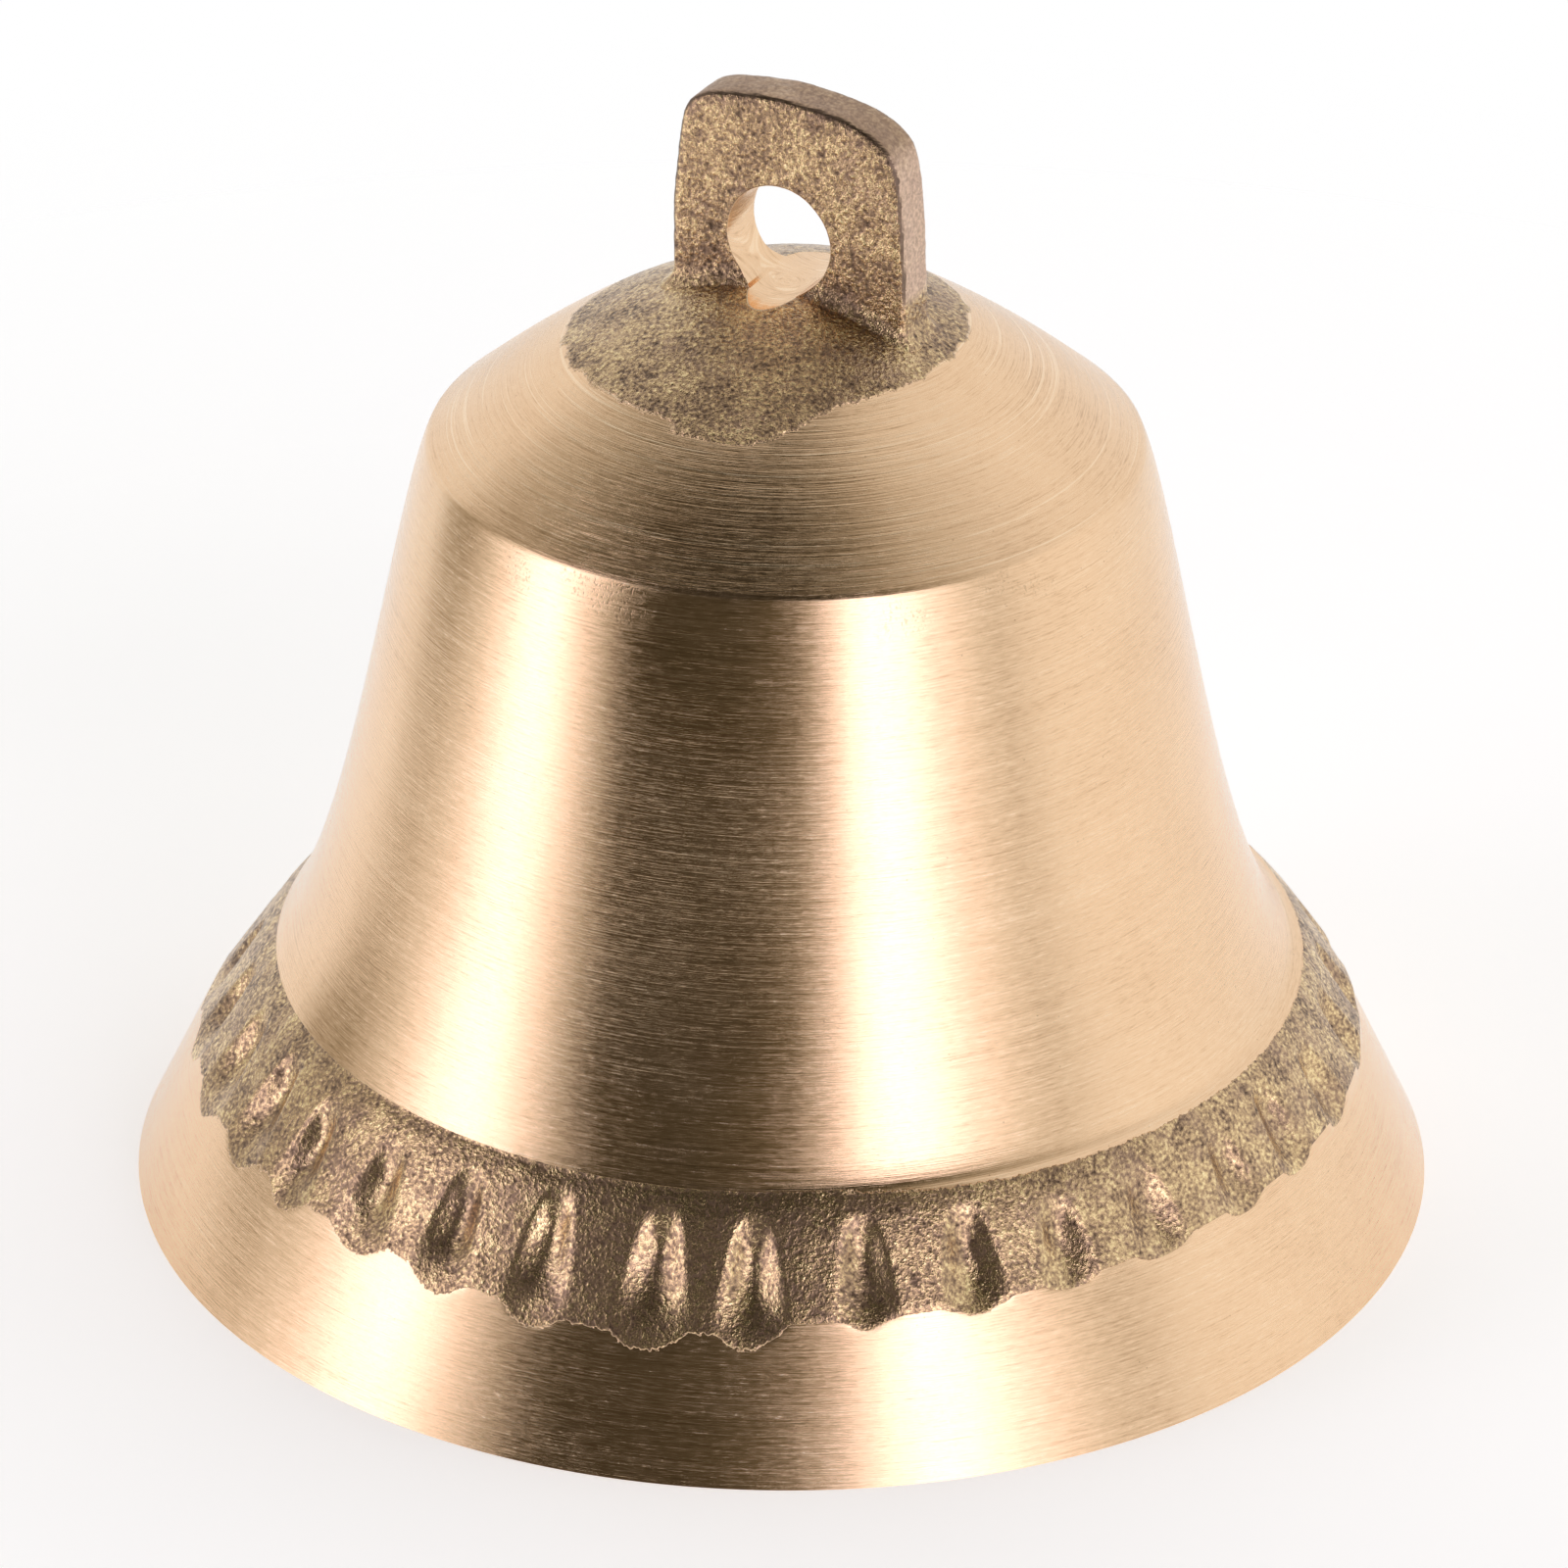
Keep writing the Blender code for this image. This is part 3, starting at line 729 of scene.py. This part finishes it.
def buildWire(name, path, radii, plane, material, closed=False):
    # a round wire along points of an upright plane, with the small unevenness of drawn wire
    sides = wires["sides"]
    across = Vector((1, 0, 0)) if plane == "X" else Vector((0, 1, 0))
    spine = [across * first + Vector((0, 0, second)) for first, second in path]
    side = across.cross(Vector((0, 0, 1)))
    points = []
    for index, place in enumerate(spine):
        ahead = spine[(index + 1) % len(spine)] if closed else spine[min(index + 1, len(spine) - 1)]
        behind = spine[index - 1] if closed else spine[max(index - 1, 0)]
        outward = (ahead - behind).normalized().cross(side)
        for turn in range(sides):
            angle = math.tau * turn / sides
            offset = outward * math.cos(angle) + side * math.sin(angle)
            uneven = 1 - wires["wobble"] * (0.5 + 0.5 * noise.noise((place + offset) * 0.9))
            points.append(place + offset * radii[index] * uneven)
    faces = []
    count = len(spine)
    for ring in range(count if closed else count - 1):
        follow = (ring + 1) % count
        for turn in range(sides):
            beside = (turn + 1) % sides
            faces.append((ring * sides + turn, ring * sides + beside,
                          follow * sides + beside, follow * sides + turn))
    if not closed:
        faces.append(tuple(range(sides))[::-1])
        faces.append(tuple(range((count - 1) * sides, count * sides)))
    piece = addPiece(name, [point * mm for point in points], faces, material)
    faceOutwards(piece)
    return piece


def buildStaple(material):
    spread, bend, top = wires["stapleSpread"], wires["stapleBend"], wires["stapleTop"]
    legs = np.linspace(top, bend, 14)
    path = [(-spread, height) for height in legs[:-1]]
    path += arcPoints((0, bend), spread, 180, 360, 40)
    path += [(spread, height) for height in legs[::-1][1:]]
    return buildWire("staple_wire", path, [wires["stapleWire"]] * len(path), "Y", material)


def linkCentre():
    bar = wires["stapleBend"] - wires["stapleSpread"]
    return bar + wires["stapleWire"] + wires["gap"] - (wires["linkRadius"] - wires["linkWire"])


def buildLink(material):
    path = arcPoints((0, linkCentre()), wires["linkRadius"], 0, 360, 72)[:-1]
    return buildWire("link_ring", path, [wires["linkWire"]] * len(path), "X", material, closed=True)


def buildShank(material):
    wire, eye, neck = wires["shankWire"], wires["eyeRadius"], wires["neckRadius"]
    bottom = linkCentre() - wires["linkRadius"]
    eyeCentre = bottom + wires["linkWire"] + wires["gap"] + wire - eye
    neckHeight = eyeCentre - math.sqrt((eye + neck) ** 2 - neck ** 2)
    meeting = math.degrees(math.asin(neck / (eye + neck)))
    bend = arcPoints((neck, neckHeight), neck, 180, 90 + meeting, 10)
    loop = arcPoints((0, eyeCentre), eye, meeting - 90, 270 - wires["eyeTailGap"], 44)
    flat = wires["ballHeight"] - math.sqrt(wires["ballRadius"] ** 2 - (wire + wires["gap"]) ** 2)
    head = flat - wires["gap"]
    lowest, peened = head - wires["peenedLength"], wires["peenedRadius"]
    # the hammered end, from its worn lower edge up to where it meets the rod
    profile = [(lowest, 0.72 * peened), (lowest + 0.08, 0.88 * peened), (lowest + 0.3, peened),
               (head - 0.2, peened), (head - 0.05, 0.93 * peened), (head, 0.8 * peened),
               (head + 0.01, wire)]
    path = [(0, height) for height, radius in profile]
    radii = [radius for height, radius in profile]
    stem = np.linspace(head + 0.6, neckHeight, 14)
    path += [(0, height) for height in stem[:-1]] + bend + loop[1:]
    radii += [wire] * (len(path) - len(radii))
    radii[-1] = wire * 0.82
    return buildWire("shank_wire", path, radii, "Y", material)


def buildBall(material):
    # a turned ball, bored through, with softened bore edges and a few strike marks on its belt
    sides, rows = 72, 40
    radius, bore = wires["ballRadius"], wires["shankWire"] + wires["gap"]
    edgeWidth, edgeDepth = wires["boreEdge"]
    flat = math.asin((bore + edgeWidth) / radius)
    profile = [(bore, -radius * math.cos(flat) + edgeDepth)]
    for step in range(rows + 1):
        turn = flat + (math.pi - 2 * flat) * step / rows
        profile.append((radius * math.sin(turn), -radius * math.cos(turn)))
    profile.append((bore, radius * math.cos(flat) - edgeDepth))
    points = []
    for distance, height in profile:
        for side in range(sides):
            angle = math.tau * side / sides
            place = Vector((distance * math.cos(angle), distance * math.sin(angle), height))
            strike = max(0.0, noise.noise(place * 0.55) - 0.15)
            dent = wires["dent"] * strike if distance > bore else 0.0
            place = place * (1 - dent)
            points.append((place + Vector((0, 0, wires["ballHeight"]))) * mm)
    faces = []
    count = len(profile)
    for row in range(count):
        follow = (row + 1) % count
        for side in range(sides):
            beside = (side + 1) % sides
            faces.append((row * sides + side, row * sides + beside,
                          follow * sides + beside, follow * sides + side))
    return addPiece("clapper_ball_turned", points, faces, material, 40)


wireFinishes = {
    "iron": {"name": "black iron wire", "pale": (0.17, 0.15, 0.13), "dark": (0.05, 0.045, 0.04),
             "rust": (0.16, 0.07, 0.03), "roughness": 0.55, "rustShare": 0.42},
    "steel": {"name": "steel wire", "pale": (0.46, 0.44, 0.41), "dark": (0.22, 0.20, 0.18),
              "rust": (0.20, 0.11, 0.06), "roughness": 0.38, "rustShare": 0.36},
}


def wireMetal(finish):
    material, graph = newGraph(finish["name"])
    place = graph.objectPlace()
    x, y, z = graph.split(place)
    grain = graph.noise(place, 2.4, 4.0, 0.6)
    patches = graph.noise(place, 0.5, 3.0, 0.6)
    scratches = graph.noise(graph.join(x * 6, y * 6, z * 1.1), 1.0, 3.0)
    colour = graph.mix(grain.above(0.35, 0.3), finish["dark"], finish["pale"])
    stained = (patches * 0.7 + grain * 0.3).above(1 - finish["rustShare"], 0.12)
    finishMetal(graph, {}, {
        "Base Color": graph.mix(stained, colour, finish["rust"]),
        "Roughness": finish["roughness"] + (grain - 0.5) * 0.3 + stained * 0.2,
        "Metallic": 1 - stained * 0.6,
        "Normal": graph.bump(grain * 0.05 + scratches * 0.02, mm)})
    return material


ballFinish = {"dull": (0.34, 0.21, 0.09), "bright": (0.72, 0.50, 0.25), "roughness": 0.36}


def ballBrass():
    material, graph = newGraph("ball brass")
    place = graph.objectPlace()
    x, y, z = graph.split(place)
    lines = graph.noise(graph.join(x * 0.25, y * 0.25, z * 6.0), 1.0, 4.0, 0.6)
    patches = graph.noise(place, 0.35, 3.0, 0.6)
    grain = graph.noise(place, 2.2, 3.0)
    colourLevel = (patches * 0.7 + grain * 0.3).above(0.36, 0.25)
    finishMetal(graph, {}, {
        "Base Color": graph.mix(colourLevel, ballFinish["dull"], ballFinish["bright"]),
        "Roughness": ballFinish["roughness"] + (patches - 0.5) * 0.3 + (lines - 0.5) * 0.15,
        "Metallic": 0.85 + patches * 0.15,
        "Normal": graph.bump(lines * 0.02 + grain * 0.015, mm)})
    return material


# each piece with the body it rides, the node it replaces and its material slot
iron = wireMetal(wireFinishes["iron"])
steel = wireMetal(wireFinishes["steel"])
for build, material, body, node, slotName in (
        (buildCasting, bellBrass(), "bell", "bell_body", "bell_brass"),
        (buildStaple, iron, "bell", "clapper_staple", "staple_iron"),
        (buildLink, steel, "link", "clapper_link", "link_steel"),
        (buildShank, steel, "clapper", "clapper_shank", "shank_steel"),
        (buildBall, ballBrass(), "clapper", "clapper_ball", "clapper_brass")):
    piece = build(material)
    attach(piece, body)
    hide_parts(node)
    print(piece.name, "done")


# studio: metres, degrees, and brightness where white paper is 1
studio = {
    "floorRadius": 0.16, "floorGlow": 0.42, "floorSides": 96, "floorDrop": 0.00002,
    "roomRadius": 4.0,
    "cameraAzimuth": 27.5, "cameraPlace": (0.20713, -0.39789, 0.26012),
    "cameraPitch": 27.916, "cameraRoll": 0.366, "lens": 218.2, "sensor": 36.0,
    # brightness at the horizon, by degrees from the camera's side towards the viewer's right
    "horizon": [(-180, 0.93), (-130, 0.92), (-120, 0.46), (-110, 0.36), (-100, 0.72), (-90, 1.1),
                (-86, 1.6), (-72, 2.9), (-66, 1.7), (-60, 1.05), (-53, 0.74), (-50, 0.07),
                (-40, 0.055), (-8, 0.07), (6, 0.17), (14, 0.95), (21, 2.7), (32, 2.7), (40, 1.5),
                (52, 1.0), (64, 0.66), (74, 0.97), (96, 1.0), (130, 0.92), (180, 0.92)],
    "overhead": [(-180, 0.95), (-140, 0.9), (-124, 0.55), (-108, 0.24), (-92, 0.08), (-70, 0.035),
                 (20, 0.035), (44, 0.14), (64, 0.42), (82, 0.6), (98, 0.78), (120, 0.9), (180, 0.95)],
    # where each zone begins, and over how many degrees it takes over
    "underfootFrom": (14.0, 8.0), "overheadFrom": (32.0, 12.0), "zenithFrom": (76.0, 12.0),
    "underfoot": (0.95, 0.95, 0.95), "zenith": (0.05, 0.05, 0.05),
    "warmShade": (1.0, 0.90, 0.66), "boxTint": (1.0, 0.92, 1.06),
}


def buildFloor():
    # a small pale disc under the bell that fades into the backdrop
    material, graph = newGraph("pale floor")
    place = graph.node("ShaderNodeTexCoord", output=3)
    cloud = graph.noise(place, 30.0, 3.0)
    colour = graph.mix(cloud, (0.93, 0.93, 0.93), (0.96, 0.96, 0.955))
    x, y, z = graph.split(place)
    reach = studio["floorRadius"]
    far = (x * x + y * y).power(0.5).above(reach * 0.45, reach * 0.5)
    shader = graph.node("ShaderNodeBsdfPrincipled", inputs={
        "Base Color": colour, "Roughness": 0.9, "Emission Color": colour,
        "Emission Strength": studio["floorGlow"]})
    clear = graph.node("ShaderNodeBsdfTransparent")
    faded = graph.node("ShaderNodeMixShader", inputs={0: far, 1: shader, 2: clear})
    graph.node("ShaderNodeOutputMaterial", inputs={"Surface": faded})
    level = cadBox[0].z - studio["floorDrop"]
    sides = studio["floorSides"]
    turns = [math.tau * step / sides for step in range(sides)]
    corners = [(reach * math.cos(turn), reach * math.sin(turn), level) for turn in turns]
    addPiece("floor", corners, [tuple(range(sides))], material)


def buildBackdrop():
    # a white room round everything, which only the camera sees
    material, graph = newGraph("white backdrop")
    glow = graph.node("ShaderNodeEmission", inputs={"Color": (1.0, 1.0, 1.0), "Strength": 1.0})
    graph.node("ShaderNodeOutputMaterial", inputs={"Surface": glow})
    work = bmesh.new()
    bmesh.ops.create_icosphere(work, subdivisions=4, radius=studio["roomRadius"])
    backdrop = addBmesh("backdrop", work)
    backdrop.data.materials.append(material)
    for kind in ("diffuse", "glossy", "transmission", "volume_scatter", "shadow"):
        setattr(backdrop, "visible_" + kind, False)


def greyStops(curve):
    return [(angle / 360 + 0.5, (value, value, value)) for angle, value in curve]


def buildStudio():
    world = bpy.data.worlds.new("studio")
    bpy.context.scene.world = world
    world.use_nodes = True
    graph = Graph(world.node_tree)
    direction = graph.node("ShaderNodeTexCoord", output=0)
    x, y, z = graph.split(direction)
    # the camera stands at this heading; angles grow towards its right
    heading = math.radians(studio["cameraAzimuth"] - 90)
    toCamera = x * math.cos(heading) + y * math.sin(heading)
    toRight = y * math.cos(heading) - x * math.sin(heading)
    turn = toRight.maths("ARCTAN2", toCamera) / math.tau + 0.5
    horizon = graph.ramp(greyStops(studio["horizon"]), turn)
    overhead = graph.ramp(greyStops(studio["overhead"]), turn)
    climb = z.maths("ARCSINE") * (180 / math.pi)
    room = graph.mix((0 - climb).above(*studio["underfootFrom"]), horizon, studio["underfoot"])
    room = graph.mix(climb.above(*studio["overheadFrom"]), room, overhead)
    room = graph.mix(climb.above(*studio["zenithFrom"]), room, studio["zenith"])
    # dark parts of the room are warm, and the lamps' faces are a little pink
    brightness = graph.node("ShaderNodeSeparateColor", inputs={0: room})
    shade = graph.mix(1.0, room, studio["warmShade"], "MULTIPLY")
    lit = graph.mix(1.0, room, studio["boxTint"], "MULTIPLY")
    tinted = graph.mix(brightness.above(0.1, 0.7), shade, room)
    tinted = graph.mix(brightness.above(1.05, 0.5), tinted, lit)
    background = graph.node("ShaderNodeBackground", inputs={"Color": tinted, "Strength": 1.0})
    graph.node("ShaderNodeOutputWorld", inputs={"Surface": background})


def buildCamera():
    camera = bpy.data.objects.new("camera", bpy.data.cameras.new("camera"))
    bpy.context.scene.collection.objects.link(camera)
    turn = Matrix.Rotation(math.radians(studio["cameraAzimuth"]), 4, "Z")
    tilt = Matrix.Rotation(math.radians(90 - studio["cameraPitch"]), 4, "X")
    roll = Matrix.Rotation(math.radians(studio["cameraRoll"]), 4, "Z")
    camera.matrix_world = Matrix.Translation(studio["cameraPlace"]) @ turn @ tilt @ roll
    camera.data.lens = studio["lens"]
    camera.data.sensor_width = studio["sensor"]
    camera.data.clip_start = 0.01       # metres
    bpy.context.scene.camera = camera


buildFloor()
buildBackdrop()
buildStudio()
buildCamera()
bpy.context.scene.view_settings.view_transform = "Standard"
bpy.context.scene.view_settings.look = "None"
print("studio done")
